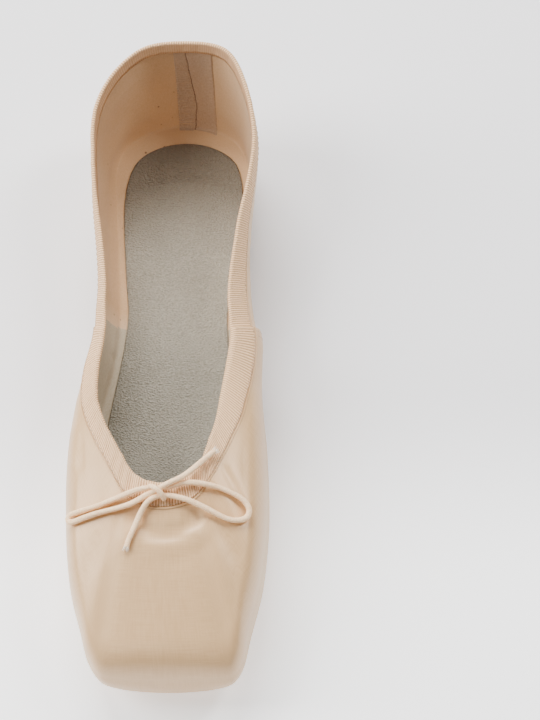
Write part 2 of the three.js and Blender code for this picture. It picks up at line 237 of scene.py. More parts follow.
def frames_along(points):
    """Two directions across a path at each of its points, which turn as little as they can."""
    ways = np.gradient(points, axis=0)
    ways /= np.linalg.norm(ways, axis=1, keepdims=True)
    side = np.cross(ways[0], (0.0, 0.0, 1.0))
    sides = []
    for way in ways:
        side = side - way * (side @ way)
        side = side / np.linalg.norm(side)
        sides.append(side)
    sides = np.array(sides)
    return ways, sides, np.cross(ways, sides)


def rings(middles, radii, angles, sides, ups):
    """Rings of points round the points of a path."""
    spokes = np.cos(angles)[None, :, None] * sides[:, None] + np.sin(angles)[None, :, None] * ups[:, None]
    return middles[:, None] + radii[..., None] * spokes


def cord_tube(name, route):
    """A soft round cord of two plies as a mesh tube, with the points it follows and its length."""
    points, length = smooth_route(route, CORD_STEP)
    ways, sides, ups = frames_along(points)
    run = np.linspace(0, length, len(points))
    angles = np.linspace(0, 2 * math.pi, CORD_SIDES + 1)
    ply = np.abs(np.sin(angles[None] - run[:, None] * 2 * math.pi / CORD_TWIST_LENGTH)) ** PLY_FULLNESS
    radius = CORD_DIAMETER / 2 * (1 - CORD_GROOVE * (1 - ply))
    tube = rings(points, radius, angles, sides, ups)
    closed = [points[:1, None] + 0 * tube[:1], tube, points[-1:, None] + 0 * tube[-1:]]
    around = np.broadcast_to(angles * CORD_DIAMETER / 2, (len(points) + 2, CORD_SIDES + 1))
    along = np.concatenate([run[:1], run, run[-1:]])[:, None] + 0 * around
    cord = ribbon(name, np.concatenate(closed), np.stack([around, along], axis=2))
    sewn(cord)
    return cord, points, length


def thread_group():
    """Fine threads along and across a flat cloth: how high they stand, which is their tone too."""
    group = bpy.data.node_groups.new("cloth_threads", "ShaderNodeTree")
    for label, kind in (("Cloth", "Vector"), ("Thread", "Float"), ("Slub", "Float")):
        group.interface.new_socket(label, in_out="INPUT", socket_type="NodeSocket" + kind)
    group.interface.new_socket("Height", in_out="OUTPUT", socket_type="NodeSocketFloat")
    entry = group.nodes.new("NodeGroupInput")
    leave = group.nodes.new("NodeGroupOutput")
    parts = add_node(group, "ShaderNodeSeparateXYZ", Vector=entry.outputs["Cloth"])
    heights = []
    for first, second in (("X", "Y"), ("Y", "X")):
        fine = calculated(group, "DIVIDE", parts.outputs[first], entry.outputs["Thread"])
        slow = calculated(group, "DIVIDE", parts.outputs[second], entry.outputs["Slub"])
        vector = add_node(group, "ShaderNodeCombineXYZ", X=fine, Y=slow)
        heights.append(noise(group, vector.outputs[0], 1, 1.5))
    half = calculated(group, "MULTIPLY", calculated(group, "ADD", *heights), 0.5)
    group.links.new(half, leave.inputs["Height"])
    return group


threads = thread_group()


def woven_height(tree, thread, slub):
    flat = add_node(tree, "ShaderNodeTexCoord").outputs["UV"]
    weave = add_node(tree, "ShaderNodeGroup", {"node_tree": threads}, Cloth=flat, Thread=thread, Slub=slub)
    return weave.outputs["Height"]


def cloth_material(name, dark, light, thread, slub, bump_height, roughness, sheen):
    """Woven cloth between two tones, with its threads as bump."""
    material, tree, shader = new_material(name)
    height = woven_height(tree, thread, slub)
    colour = mixed_colour(tree, share_between(tree, height, 0.38, 0.62), dark, light)
    dressed(tree, shader, colour, height, bump_height, roughness)
    shader.inputs["Sheen Weight"].default_value = sheen
    return material, tree, shader


cotton = cloth_material("cotton_cord", CORD_COLOUR, CORD_FUZZ_COLOUR, 0.00025, 0.0014, 0.00014, 0.85, 0)[0]
frayed_cotton = cloth_material("frayed_cotton", CORD_FUZZ_COLOUR, (1, 0.97, 0.93, 1),
                               0.0002, 0.001, 0.00005, 0.9, 0.3)[0]


def copies_joined(name, model, places):
    """Copies of one small model, each with its own mesh at its own place, joined into one piece."""
    copies = []
    for place in places:
        copy = model.copy()
        copy.data = model.data.copy()
        copy.data.transform(place)
        bpy.context.scene.collection.objects.link(copy)
        copies.append(copy)
    bpy.data.objects.remove(model)
    select(*copies)
    bpy.ops.object.join()
    bpy.ops.object.shade_smooth()
    piece = copies[0]
    piece.name = name
    select()
    return piece


def placed(first, second, third, middle):
    """The matrix that lays a model's own x, y and z along three directions at a place."""
    matrix = Matrix.Identity(4)
    for column, way in enumerate((first, second, third, middle)):
        matrix.col[column].xyz = way
    return matrix


def frayed_end(name, points):
    """The yarns of a cut end, fanned out a little: thin pointed cones that start inside the cord."""
    ways, sides, ups = frames_along(points)
    way, side, up = ways[-1], sides[-1], ups[-1]
    bpy.ops.mesh.primitive_cone_add(vertices=5, radius1=YARN_RADIUS, radius2=YARN_RADIUS / 4, depth=1)
    yarn_model = bpy.context.object
    yarn_model.data.materials.append(frayed_cotton)
    places = []
    for yarn in range(YARNS):
        angle = yarn * GOLDEN_TURN
        reach = math.sqrt((yarn + 0.5) / YARNS)
        across = math.cos(angle) * side + math.sin(angle) * up
        start = points[-1] - way * FRAY_HIDDEN + across * CORD_DIAMETER * FRAY_SPREAD * reach
        yarn_length = FRAY_LENGTH * (1 - FRAY_UNEVEN + FRAY_UNEVEN * math.sin(5 * angle))
        end = start + way * yarn_length + across * FRAY_FANS * reach
        places.append(placed(side, up, end - start, (start + end) / 2))
    piece = copies_joined(name, yarn_model, places)
    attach(piece, "root")
    return piece


for name, route, nodes in (
    ("bow_cord_left", LEFT_CORD_ROUTE, ("bow_loop_left", "bow_end_right")),
    ("bow_cord_right", RIGHT_CORD_ROUTE, ("bow_loop_right", "bow_end_left")),
):
    cord, points, length = cord_tube(name, route)
    cord.data.materials.append(cotton)
    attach(cord, "root")
    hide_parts(*nodes)
    fray = frayed_end(name + "_fray", points)

knot = cord_tube("bow_knot_wrap", KNOT_WRAP_ROUTE)[0]
knot.data.materials.append(cotton)
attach(knot, "root")
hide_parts("bow_knot")


# The upper
# Satin backed with cotton, sewn from a vamp and two quarters and pulled over a straight last. Layers
# of paste-soaked cloth and paper make the box. The edge is turned in under the sole in pleats.
SHOE_LENGTH = 0.24
BOX_WIDTH = 0.073
INSTEP_HEIGHT = 0.047
HEEL_HEIGHT = 0.0565
ARCH_RISE = 0.004
TOE_SPRING = 0.0025
SOLE_THICKNESS = 0.0022
LASTING_MARGIN = 0.004
QUARTER_WALL = 0.0012
BOX_WALL = 0.0028
FIT_GAP = 0.0003
SEAM_LAP = 0.0006
RIGHT_SEAM_LAP = 0.0012
# The lines round the shoe between which the right lap grows and both laps end
RIGHT_LAP_GROWS = (1, 8)
LAP_ENDS = (-10.001, -9.985)
# How far below the collar these fade in
CREASE_FADE = (0.003, 0.009)
FOLD_FADE = (0.004, 0.01)
WING_FADE = (0.002, 0.005)
RIM_THINNING = 0.0006
PLEAT_DEPTH = 0.0009
TAPE_WIDTH = 0.008
BALL_FRONT_ALONG, BALL_BACK_ALONG, HEEL_FRONT_ALONG = 0.19, 0.375, 0.76
# Each row is a line up the wall, from the middle of the toe round one side to the middle of the heel:
# the turned-in edge (along, out), the lower corner and the shoulder (along, out, up, round) and the
# collar (along, out, up, crown). along is a share of the length, out of half the box's width, up and
# round of the height there, and crown of the stretch from the shoulder up.
WALL_LINES = [
    ((0.108, 0), (0.001, 0, 0.03, 0.12), (0.004, 0, 0.63, 0.27), (0.268, 0, 1, 0.02)),
    ((0.108, 0.16), (0.001, 0.235, 0.05, 0.12), (0.004, 0.245, 0.625, 0.27), (0.27, 0.105, 1, 0.022)),
    ((0.11, 0.31), (0.002, 0.465, 0.1, 0.12), (0.006, 0.48, 0.615, 0.26), (0.2755, 0.205, 1, 0.03)),
    ((0.119, 0.43), (0.006, 0.635, 0.17, 0.12), (0.011, 0.645, 0.6, 0.26), (0.286, 0.29, 0.995, 0.04)),
    ((0.135, 0.51), (0.028, 0.735, 0.15, 0.15), (0.034, 0.74, 0.645, 0.25), (0.3, 0.355, 0.99, 0.044)),
    ((0.167, 0.55), (0.083, 0.815, 0.08, 0.17), (0.086, 0.82, 0.72, 0.27), (0.318, 0.41, 0.982, 0.04)),
    ((0.208, 0.58), (0.158, 0.92, 0.05, 0.19), (0.158, 0.925, 0.8, 0.3), (0.34, 0.465, 0.97, 0.036)),
    ((0.267, 0.59), (0.258, 0.97, 0.04, 0.2), (0.25, 0.975, 0.84, 0.32), (0.371, 0.54, 0.948, 0.032)),
    ((0.358, 0.55), (0.367, 0.95, 0.045, 0.2), (0.358, 0.965, 0.83, 0.33), (0.4125, 0.605, 0.918, 0.03)),
    ((0.45, 0.45), (0.458, 0.838, 0.05, 0.17), (0.454, 0.925, 0.725, 0.32), (0.471, 0.645, 0.86, 0.03)),
    ((0.55, 0.327), (0.57, 0.674, 0.05, 0.14), (0.558, 0.864, 0.59, 0.3), (0.5375, 0.65, 0.797, 0.03)),
    ((0.625, 0.291), (0.6375, 0.623, 0.045, 0.13), (0.633, 0.823, 0.53, 0.3), (0.6125, 0.649, 0.767, 0.03)),
    ((0.708, 0.327), (0.717, 0.659, 0.035, 0.12), (0.717, 0.825, 0.53, 0.3), (0.696, 0.72, 0.8, 0.03)),
    ((0.783, 0.399), (0.796, 0.7, 0.03, 0.11), (0.796, 0.84, 0.52, 0.3), (0.779, 0.81, 0.835, 0.025)),
    ((0.85, 0.429), (0.867, 0.71, 0.03, 0.11), (0.871, 0.835, 0.515, 0.3), (0.862, 0.83, 0.89, 0.02)),
    ((0.896, 0.342), (0.927, 0.598, 0.03, 0.11), (0.938, 0.685, 0.52, 0.3), (0.938, 0.685, 0.96, 0.02)),
    ((0.919, 0.179), (0.954, 0.317, 0.03, 0.11), (0.982, 0.38, 0.54, 0.3), (0.988, 0.43, 0.995, 0.02)),
    ((0.925, 0), (0.9625, 0, 0.03, 0.11), (0.996, 0, 0.56, 0.3), (1, 0, 1, 0.02)),
]
LAST_LINE = len(WALL_LINES) - 1
BALL_LINE, SEAM_LINE, HEEL_LINE = 7, 10, 13
WALL_BULGE = 0.03
ROUND_LIMIT = 0.46
STIFF_FADE_HEIGHT = 0.018
STIFF_FADE_LINES = (9, 11)
CORNER, SHOULDER, COLLAR = 1, 2, 3


def smoothstep(value, low, high):
    share = np.clip((np.asarray(value) - low) / (high - low), 0, 1)
    return share * share * (3 - 2 * share)


def sole_lift(along):
    arch = np.clip((along - BALL_BACK_ALONG) / (HEEL_FRONT_ALONG - BALL_BACK_ALONG), 0, 1)
    spring = np.maximum(0, (BALL_FRONT_ALONG - along) / BALL_FRONT_ALONG)
    return ARCH_RISE * np.sin(np.pi * arch) ** 2 + TOE_SPRING * spring**2


def edge_height(along):
    return sole_lift(along) + SOLE_THICKNESS + FIT_GAP


def height_at(along):
    return INSTEP_HEIGHT + (HEEL_HEIGHT - INSTEP_HEIGHT) * smoothstep(along, 0.5, 0.85)


def shoe_place(along, out, up=0, *_):
    height = edge_height(along) + up * height_at(along)
    return np.array([out * BOX_WIDTH / 2, (along - 0.5) * SHOE_LENGTH, height])


def line_round(column):
    """The closed curve round the shoe through one column's points, as a function of the line's number."""
    right = [shoe_place(*row[column]) for row in WALL_LINES]
    points = right + [p * (-1, 1, 1) for p in right[-2:0:-1]]

    def at_line(at):
        row = int(at)
        share = at - row
        before, start, end, after = (points[(row + step) % len(points)] for step in (-1, 0, 1, 2))
        gaps = [np.linalg.norm(b - a) ** 0.5 for a, b in ((before, start), (start, end), (end, after))]
        pull = (start - before) / gaps[0] - (end - before) / (gaps[0] + gaps[1]) + (end - start) / gaps[1]
        push = (end - start) / gaps[1] - (after - start) / (gaps[1] + gaps[2]) + (after - end) / gaps[2]
        pull, push = pull * gaps[1], push * gaps[1]
        bend = -3 * start + 3 * end - 2 * pull - push
        twist = 2 * start - 2 * end + pull + push
        return start + pull * share + bend * share**2 + twist * share**3

    return at_line


column_lines = [line_round(column) for column in range(4)]
edge_line = column_lines[0]


def last_value(at, column):
    row = min(int(at), LAST_LINE - 1)
    before, after = WALL_LINES[row][column][3], WALL_LINES[row + 1][column][3]
    return before + (after - before) * (at - row)


def toward(start, end, distance):
    return start + (end - start) / np.linalg.norm(end - start) * distance


def bend_points(start, pull, end, shares):
    shares = np.asarray(shares)[:, None]
    return (1 - shares) ** 2 * start + 2 * shares * (1 - shares) * pull + shares**2 * end


def along_of(y):
    return y / SHOE_LENGTH + 0.5


# How finely each stretch up the wall is divided: under the sole, round the lower corner, up the side,
# over the shoulder and on to the collar.
STRETCH_PARTS = {"under": 7, "corner": 8, "side": 7, "shoulder": 10, "top": 18}


def wall_line(at):
    """The points of the outer face up one line, from the turned-in edge to the collar."""
    edge, corner, shoulder, collar = (line(at) for line in column_lines)
    height = height_at(along_of(corner[1]))
    wall = np.linalg.norm(shoulder - corner)
    top = np.linalg.norm(collar - shoulder)
    covered = LASTING_MARGIN + 3 * FIT_GAP
    corner_round = last_value(at, CORNER) * height
    shoulder_round = last_value(at, SHOULDER) * height
    under_end = toward(corner, edge, min(corner_round, np.linalg.norm(corner - edge) - covered - FIT_GAP))
    wall_start = toward(corner, shoulder, min(corner_round, wall * ROUND_LIMIT))
    wall_end = toward(shoulder, corner, min(shoulder_round, wall * ROUND_LIMIT))
    top_start = toward(shoulder, collar, min(shoulder_round, top * ROUND_LIMIT))
    out = (corner - edge) * (1, 1, 0)
    out /= np.linalg.norm(out)
    crown_way = np.cross((-out[1], out[0], 0), collar - top_start)
    crown_way /= np.linalg.norm(crown_way)
    bulge = (wall_start + wall_end) / 2 + out * wall * WALL_BULGE
    crown = (top_start + collar) / 2 + crown_way * top * last_value(at, COLLAR)
    shares = {name: np.arange(count) / count for name, count in STRETCH_PARTS.items()}
    return np.concatenate([
        edge + (under_end - edge) * shares["under"][:, None],
        bend_points(under_end, corner, wall_start, shares["corner"]),
        bend_points(wall_start, bulge, wall_end, shares["side"]),
        bend_points(wall_end, shoulder, top_start, shares["shoulder"]),
        bend_points(top_start, crown, collar, shares["top"]),
        collar[None],
    ])


# The lines round the right side, closer together at the pleats, at the wing's edge and at the side seam
right_lines = np.concatenate([
    np.linspace(0, BALL_LINE, 112, endpoint=False),
    np.linspace(BALL_LINE, 9.6, 26, endpoint=False),
    np.linspace(9.6, 9.95, 7, endpoint=False),
    [9.95, 9.97, 9.985],
    np.linspace(SEAM_LINE, HEEL_LINE, 30, endpoint=False),
    np.linspace(HEEL_LINE, LAST_LINE, 41),
])
LINES_ROUND = np.concatenate([right_lines, right_lines[-2::-1]])
IS_LEFT = np.arange(len(LINES_ROUND)) >= len(right_lines)
# The soft shoe doesn't stand quite straight: how far it leans across at places along it, in millimetres
LEAN = [
    (-120, 1.1), (-110, 0.1), (-92, -0.8), (-60, -0.8), (-38, -1.4), (-18, -1.1), (-6, 0.1), (4, 1.6),
    (10, 1.9), (18, 0.9), (34, 0), (57, -1.3), (79, -0.5), (95, -0.3), (103, 0.3), (110, 1.3), (116, 2.2),
    (121, 2.8),
]
LEAN_REACH = 130
LEAN_SMOOTHING = 17
smoothing = np.hanning(LEAN_SMOOTHING) / np.hanning(LEAN_SMOOTHING).sum()
wide_reach = LEAN_REACH + LEAN_SMOOTHING // 2
lean_y = np.arange(-LEAN_REACH, LEAN_REACH + 1)
lean_x = np.interp(np.arange(-wide_reach, wide_reach + 1), *np.transpose(LEAN))
lean_x = np.convolve(lean_x, smoothing, "valid")
# How far the soft collar is drawn across as well, on each side of the opening
LEFT_SWAY = [
    (-53, 0), (-44, 0.3), (-31, -1.6), (-21, -2.8), (9, -2.8), (20, -2.6), (30, -1.9), (45, -0.7),
    (59, 0.2), (81, -0.1), (95, -1.5), (101, -1.6), (108, -1.4), (114, -0.5), (118, 0),
]
RIGHT_SWAY = [
    (-53, 0), (-50, 0.8), (-44, 0.3), (-31, -0.8), (-21, -1.8), (-7, -2.4), (9, -3), (20, -2.8),
    (30, -2.4), (45, -1.8), (59, -1.3), (80, -0.5), (95, 0),
]
SWAY_REACH = 0.015
SWAY_FADE = 1.2
# The rim is stretched up and back at the heel, between these places along the shoe, in millimetres
HEEL_RIM_Y = (90, 118)
HEEL_RISE = 0.0011
HEEL_BACK = 0.0005


def leaning(points, below_rim):
    """Moves points of the upper: the whole wall leans, the collar sways and the heel's rim stretches."""
    y = points[..., 1] * 1000
    shift = np.interp(y, lean_y, lean_x) * smoothstep(points[..., 2], 0.003, 0.02)
    left, right = (np.interp(y, *np.transpose(sway)) for sway in (LEFT_SWAY, RIGHT_SWAY))
    near_rim = np.clip(1 - below_rim / SWAY_REACH, 0, 1)
    sway = np.where(IS_LEFT[:, None], left, right) * near_rim**SWAY_FADE
    at_heel = smoothstep(y, *HEEL_RIM_Y) * near_rim
    return points + np.stack([(shift + sway) / 1000, HEEL_BACK * at_heel, HEEL_RISE * at_heel], axis=-1)


def round_shoe(points_at):
    """A grid of points round the whole shoe: [line round the shoe, point up the wall, xyz]."""
    right = np.array([points_at(at) for at in right_lines])
    return np.concatenate([right, right[-2::-1] * (-1, 1, 1)])


def outward(grid):
    """The outward direction at each point of such a grid, whose first and last lines are the same."""
    ring = grid[:-1]
    round_way = np.roll(ring, -1, axis=0) - np.roll(ring, 1, axis=0)
    round_way = np.concatenate([round_way, round_way[:1]])
    up_way = np.gradient(grid, axis=1)
    normal = np.cross(round_way, up_way)
    return normal / np.linalg.norm(normal, axis=2, keepdims=True)


def flat_cloth(grid, normals):
    """Where each point lies on the flat cloth: lengths across and along it, unrolled from the collar."""
    collar = grid[:, -1, :2]
    run = run_along(grid[:, ::-1])[:, ::-1]
    way = normals[:, len(grid[0]) // 2, :2]
    way = way / np.linalg.norm(way, axis=1, keepdims=True)
    return collar[:, None] + way[:, None] * run[:, :, None]


def near_path(x, y, path):
    """How far each point of the plan is from a path of points."""
    best = np.full(np.shape(x), 1.0)
    for (x0, y0), (x1, y1) in zip(path, path[1:]):
        way = np.array([x1 - x0, y1 - y0])
        share = np.clip(((x - x0) * way[0] + (y - y0) * way[1]) / (way @ way), 0, 1)
        best = np.minimum(best, np.hypot(x - x0 - share * way[0], y - y0 - share * way[1]))
    return best


def pressed(points, table):
    """How deep the soft creases of a table press in at each point."""
    depths = 0
    for path, width, depth in table:
        away = near_path(points[..., 0], points[..., 1], np.array(path) / 1000)
        depths = depths + depth / 1000 * np.exp(-(away / (width / 1000)) ** 2)
    return depths


# Soft creases, in millimetres from the shoe's middle: a path in plan, its width and its
# depth, which is negative where the satin stands up. The drawstring pulls the first ones below the bow.
CREASES = [
    ([(-10, -67), (-5, -71.3), (1, -73), (7, -71.5), (12.5, -67)], 2.3, 1.5),
    ([(-5, -66.8), (1, -68.4), (7, -66.8)], 1.8, -0.4),
    ([(-13, -73), (-5, -77.5), (4, -78.3), (13, -74)], 2.6, -0.5),
    ([(13, -67), (17, -64)], 2.2, 0.6),
    ([(4, -81.5), (13, -78.5), (19, -73)], 3.2, 0.5),
    ([(-14, -66), (-19, -72), (-21, -80)], 3.2, 0.3),
    ([(17, -66), (22, -71), (25, -79)], 3.2, 0.35),
    ([(-30, -36), (-29.5, -46)], 1.2, 0.45),
    ([(-32.5, -30), (-31.5, -44)], 1.8, -0.3),
    ([(22, -49), (26, -56), (29, -66)], 1.8, 0.4),
    ([(18, -54), (23, -61)], 1.5, -0.3),
    ([(-30, 6), (-31, -14)], 2.0, 0.3),
    ([(31, 4), (32, -12)], 2.0, 0.35),
    ([(29.5, 16), (30, 34), (29, 48)], 2.4, 0.4),
    ([(-29.5, 18), (-30, 36), (-29, 50)], 2.4, 0.4),
]

wall = round_shoe(wall_line)
wall_normals = outward(wall)
cloth = flat_cloth(wall, wall_normals)
rows = len(wall[0])
row_starts = np.cumsum([0, *STRETCH_PARTS.values()])
row_numbers = np.arange(rows)
from_collar = np.linalg.norm(wall - wall[:, -1:], axis=2)
line_numbers = LINES_ROUND[:, None] + 0 * row_numbers

# The wing laps over the quarter at the side seam, and a little more on the right side
lap_share = np.interp(row_numbers, [row_starts[1], row_starts[2]], [0, 1])
right_laps = SEAM_LAP + (RIGHT_SEAM_LAP - SEAM_LAP) * smoothstep(LINES_ROUND, *RIGHT_LAP_GROWS)
laps_round = np.where(IS_LEFT, SEAM_LAP, right_laps) * smoothstep(-LINES_ROUND, *LAP_ENDS)
lap = laps_round[:, None] * lap_share
pleat_rows = [1, 3, row_starts[1], row_starts[1] + 2, row_starts[1] + 5]
pleat_share = np.interp(row_numbers, pleat_rows, [0, 0.3, 1, 0.7, 0])
pleat_wave = (0.5 - 0.5 * np.cos(4 * np.pi * line_numbers)) ** 2
pleats = PLEAT_DEPTH * pleat_share * pleat_wave * np.clip(BALL_LINE - line_numbers, 0, 1)
creases = pressed(wall, CREASES) * smoothstep(row_numbers, row_starts[2], row_starts[3])
creases = creases * smoothstep(from_collar, *CREASE_FADE)
stiff = 1 - np.clip((line_numbers - STIFF_FADE_LINES[0]) / (STIFF_FADE_LINES[1] - STIFF_FADE_LINES[0]), 0, 1)
stiff = stiff * lap_share * np.clip((from_collar - TAPE_WIDTH) / STIFF_FADE_HEIGHT, 0, 1)
thickness = QUARTER_WALL + (BOX_WALL - QUARTER_WALL) * stiff


def wall_under_tape(distance):
    """The wall gets thinner towards its cut edge, under the binding."""
    return QUARTER_WALL - RIM_THINNING * (1 - smoothstep(distance, 0, TAPE_WIDTH))


thickness = np.minimum(thickness, np.where(from_collar < TAPE_WIDTH, wall_under_tape(from_collar), 1))

# The lining: the wings' canvas ends in a step a little behind the waist, and the cotton folds behind it
WING_EDGE_HEIGHTS = (0.012, 0.03)
WING_EDGE_PLACES = (0.024, 0.021)
WING_STEP = 0.0005
WING_EDGE_SOFTNESS = 0.0006
inner = wall - wall_normals * thickness[..., None]
wing_edge = np.interp(inner[..., 2], WING_EDGE_HEIGHTS, WING_EDGE_PLACES)
in_wing = smoothstep(-inner[..., 1], -wing_edge - WING_EDGE_SOFTNESS, -wing_edge + WING_EDGE_SOFTNESS)
LINING_FOLDS = [
    ([(-24, 24), (-27, 44), (-26, 62)], 2.2, 0.5),
    ([(-22, 66), (-18, 84), (-12, 96)], 3.0, 0.6),
    ([(24, 30), (27, 50), (27, 66)], 2.2, 0.5),
    ([(20, 80), (13, 98)], 3.0, 0.4),
    ([(-20, 14), (-25, 10)], 1.4, -0.6),
    ([(-19, 2), (-25, -6)], 1.3, -0.6),
    ([(-20, -10), (-27, -12)], 1.4, -0.5),
    ([(20, 12), (25, 6)], 1.4, -0.5),
]
folds = pressed(inner, LINING_FOLDS) * smoothstep(from_collar, *FOLD_FADE)
folds = folds * smoothstep(row_numbers, row_starts[1], row_starts[2])
wing_step = WING_STEP * in_wing * lap_share * smoothstep(from_collar, *WING_FADE)
inner -= wall_normals * (wing_step + folds)[..., None]

# The lining comes up over the filler to meet the sock
SOCK_TOP = 0.0087
SOCK_TURN_UP = 0.0034
SOCK_TURN_LENGTH = 0.011
SOCK_CREASE_Y = 0.0895
SOCK_CREASE_CURVE = 14
SOCK_CREASE_DEPTH = 0.0006
SOCK_CREASE_WIDTH = 0.0012
LINING_UNDER_SOCK = 0.0009


def sock_height(points):
    """The sock's top, which turns up against the heel behind a curved crease."""
    past = points[..., 1] - (SOCK_CREASE_Y - SOCK_CREASE_CURVE * points[..., 0] ** 2)
    turned = SOCK_TURN_UP * np.clip(past / SOCK_TURN_LENGTH, 0, 1)
    turned = turned - SOCK_CREASE_DEPTH * np.exp(-(past / SOCK_CREASE_WIDTH) ** 2)
    return sole_lift(along_of(points[..., 1])) + SOCK_TOP + turned


inner[..., 2] = np.maximum(inner[..., 2], sock_height(inner) - LINING_UNDER_SOCK)

outer = leaning(wall + wall_normals * (lap + pleats - creases)[..., None], from_collar)
inner = leaning(inner, from_collar)
around = np.concatenate([outer, inner[:, ::-1], outer[:, :1]], axis=1)
around_cloth = np.concatenate([cloth, cloth[:, ::-1], cloth[:, :1]], axis=1)
upper = ribbon("satin_upper", around, around_cloth)
centres = np.array([face.center for face in upper.data.polygons])
face_rows = np.arange(len(upper.data.polygons)) // (len(around) - 1)
edge_y = np.interp(centres[:, 2], WING_EDGE_HEIGHTS, WING_EDGE_PLACES)
slots = np.where(face_rows < rows - 1, 0, np.where(centres[:, 1] < edge_y, 2, 1))
upper.data.polygons.foreach_set("material_index", slots.astype(np.int32))
sewn(upper)


satin, tree, shader = cloth_material("satin_cloth", (0.57, 0.345, 0.165, 1), (0.63, 0.4, 0.2, 1),
                                     0.00035, 0.008, 0.00005, 0.34, 0.0)
shader.inputs["Specular IOR Level"].default_value = 0.9
shader.inputs["Specular Tint"].default_value = (1, 0.8, 0.62, 1)
lining, tree, shader = cloth_material("cotton_lining", (0.56, 0.35, 0.18, 1), (0.64, 0.41, 0.225, 1),
                                      0.0003, 0.002, 0.00006, 0.85, 0.1)
# It is cream with random blotches, painted darker and tan towards the heel as painted shade, and pricked by
# the lasting pins
tan = shader.inputs["Base Color"].links[0].from_socket
place = place_on_object(tree)
# Painted shade: the share of tan grows towards the heel
lining_heel_shade = share_between(tree, along_y(tree, place), 0.008, 0.032)
blotched = calculated(tree, "MULTIPLY_ADD", noise(tree, place, 40, 3), 0.5, -0.25)
blotches_and_heel_shade = calculated(tree, "ADD", blotched, lining_heel_shade, clamp=True)
heel_shaded_lining_colour = mixed_colour(tree, blotches_and_heel_shade, (0.84, 0.65, 0.45, 1), tan)
pins = add_node(tree, "ShaderNodeTexVoronoi", Vector=place, Scale=130)
pricked = share_between(tree, pins.outputs["Distance"], 0.03, 0.075)
lined = mixed_colour(tree, pricked, (0.2, 0.1, 0.05, 1), heel_shaded_lining_colour)
tree.links.new(lined, shader.inputs["Base Color"])
canvas = cloth_material("wing_canvas", (0.45, 0.365, 0.25, 1), (0.52, 0.435, 0.31, 1),
                        0.0004, 0.0015, 0.0001, 0.85, 0.1)[0]
for material in (satin, lining, canvas):
    upper.data.materials.append(material)
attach(upper, "root")
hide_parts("upper")


# The sole
# One piece of thin leather, cemented and sewn under the pleats, narrower than the shoe. It is flat
# under the ball and the heel and follows the arch between them.
sole_leather, tree, shader = new_material("sole_leather")
place = place_on_object(tree)
grain = add_node(tree, "ShaderNodeTexVoronoi", {"feature": "DISTANCE_TO_EDGE"}, Vector=place, Scale=1300)
colour = mixed_colour(tree, noise(tree, place, 60, 4), (0.42, 0.27, 0.15, 1), (0.55, 0.38, 0.23, 1))
dressed(tree, shader, colour, grain.outputs["Distance"], 0.00012, 0.6, strength=0.7)
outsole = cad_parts["outsole"]
outsole.data.materials.clear()
outsole.data.materials.append(sole_leather)


# The sock
# A grey sock with a fine pebbled face, glued in over the lining on a thin board. It turns up a little
# against the heel, and its cut edge shows all round.
SOCK_EASE = 0.002
SOCK_THICKNESS = 0.0012
SOCK_SHORTER_AT_HEEL = 0.0042
SOCK_SHORTER_Y = (0.06, 0.105)
SOCK_DRAWN_ASIDE = 0.0012
SOCK_ASIDE_Y = (0.06, 0.1)
SOCK_WAVE_HEIGHT = 0.00012
SOCK_WAVES = (160, 210)
SOCK_MEETS_ABOVE = 0.0035
SOCK_SPINE = (-0.096, 0.083)
SOCK_LINES = 111
SOCK_SMOOTHINGS = 6
SOCK_FLAT_RINGS = 22


def sock_edge(at):
    """Where the sock's edge lies inside the wall, as a point of the plan."""
    line = wall_line(at)
    high = line[:, 2] - edge_height(along_of(line[:, 1])) > SOCK_MEETS_ABOVE
    meets = line[np.argmax(high)]
    stiff_from, stiff_to = STIFF_FADE_LINES
    in_box = np.clip((stiff_to - at) / (stiff_to - stiff_from), 0, 1)
    return toward(meets, edge_line(at), QUARTER_WALL + (BOX_WALL - QUARTER_WALL) * in_box + SOCK_EASE)


right_rim = np.array([sock_edge(at) for at in np.linspace(0, LAST_LINE, SOCK_LINES)])
sock_ring = np.concatenate([right_rim, right_rim[-2:0:-1] * (-1, 1, 1)])
for _ in range(SOCK_SMOOTHINGS):
    sock_ring = (np.roll(sock_ring, 1, axis=0) + 2 * sock_ring + np.roll(sock_ring, -1, axis=0)) / 4
sock_rim = np.concatenate([sock_ring, sock_ring[:1]])
sock_rim[:, 1] -= SOCK_SHORTER_AT_HEEL * smoothstep(sock_rim[:, 1], *SOCK_SHORTER_Y)
spine = sock_rim * 0
spine[:, 1] = np.clip(sock_rim[:, 1], *SOCK_SPINE)
# Rings from the spine out to the rim, down round it and back under: their shares of the way out
shares = np.array([*np.linspace(0, 0.9, SOCK_FLAT_RINGS), 0.95, 0.98, 1.0, 1.0, 0.97, 0])
drops = np.concatenate([np.zeros(SOCK_FLAT_RINGS), [0, 0.05, 0.3, 1, 1.2, 1.2]]) * SOCK_THICKNESS
sock_grid = spine[:, None] + (sock_rim - spine)[:, None] * shares[None, :, None]
sock_grid[..., 0] += SOCK_DRAWN_ASIDE * smoothstep(sock_grid[..., 1], *SOCK_ASIDE_Y)
across_wave = np.cos(sock_grid[..., 0] * SOCK_WAVES[0])
dents = SOCK_WAVE_HEIGHT * np.sin(sock_grid[..., 1] * SOCK_WAVES[1]) * across_wave
sock_grid[..., 2] = sock_height(sock_grid) + dents - drops
sock_piece = ribbon("grey_sock", sock_grid, sock_grid[..., :2])
sewn(sock_piece)

sock, tree, shader = new_material("grey_sock")
place = place_on_object(tree)
stretched = add_node(tree, "ShaderNodeMapping", Vector=place)
stretched.inputs["Scale"].default_value = (0.85, 1.15, 1)
pebbles = noise(tree, stretched.outputs[0], 1500, 1)
cloud = calculated(tree, "MULTIPLY", noise(tree, place, 45, 3), 0.3)
spread = share_between(tree, calculated(tree, "MULTIPLY_ADD", pebbles, 0.7, cloud), 0.35, 0.65)
colour = mixed_colour(tree, spread, (0.225, 0.2, 0.15, 1), (0.33, 0.3, 0.235, 1))
